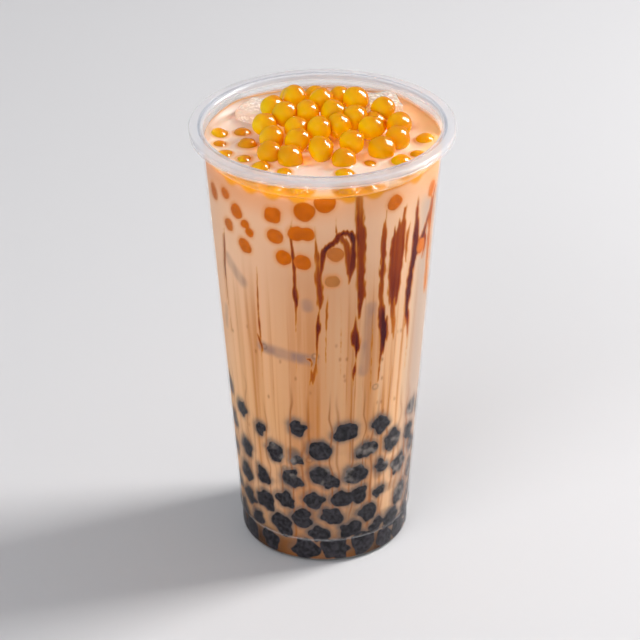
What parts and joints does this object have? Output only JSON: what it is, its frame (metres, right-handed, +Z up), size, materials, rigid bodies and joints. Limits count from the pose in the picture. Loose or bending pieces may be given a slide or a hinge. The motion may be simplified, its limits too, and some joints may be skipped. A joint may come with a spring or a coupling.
{
  "type": "bubble tea",
  "caption": "Tall clear tapered cup of milk tea with black tapioca pearls at the bottom and a heap of golden pearls and ice on top.",
  "frame": {"origin": "centre of the cup's foot, on the surface it stands on", "axes": "+Z up the cup's axis, -Y towards the viewer in the picture, +X to the viewer's right"},
  "size_m": [0.095, 0.095, 0.1727],
  "materials": {
    "clear_plastic": "clear, smooth, injection moulded",
    "milk_tea": "opaque milky liquid",
    "black_tapioca": "smooth, wet",
    "golden_tapioca": "translucent, wet, glossy",
    "ice": "cloudy, melting"
  },
  "bodies": {
    "root": {"cup": "clear_plastic", "black_pearls": "black_tapioca", "milk_tea": "milk_tea", "golden_heap": "golden_tapioca", "ice_left": "ice", "ice_right": "ice", "golden_pearl_01": "golden_tapioca", "golden_pearl_02": "golden_tapioca", "golden_pearl_03": "golden_tapioca", "golden_pearl_04": "golden_tapioca", "golden_pearl_05": "golden_tapioca", "golden_pearl_06": "golden_tapioca", "golden_pearl_07": "golden_tapioca", "golden_pearl_08": "golden_tapioca", "golden_pearl_09": "golden_tapioca", "golden_pearl_10": "golden_tapioca", "golden_pearl_11": "golden_tapioca", "golden_pearl_12": "golden_tapioca", "golden_pearl_13": "golden_tapioca", "golden_pearl_14": "golden_tapioca", "golden_pearl_15": "golden_tapioca", "golden_pearl_16": "golden_tapioca", "golden_pearl_17": "golden_tapioca", "golden_pearl_18": "golden_tapioca", "golden_pearl_19": "golden_tapioca", "golden_pearl_20": "golden_tapioca"}
  },
  "joints": []
}
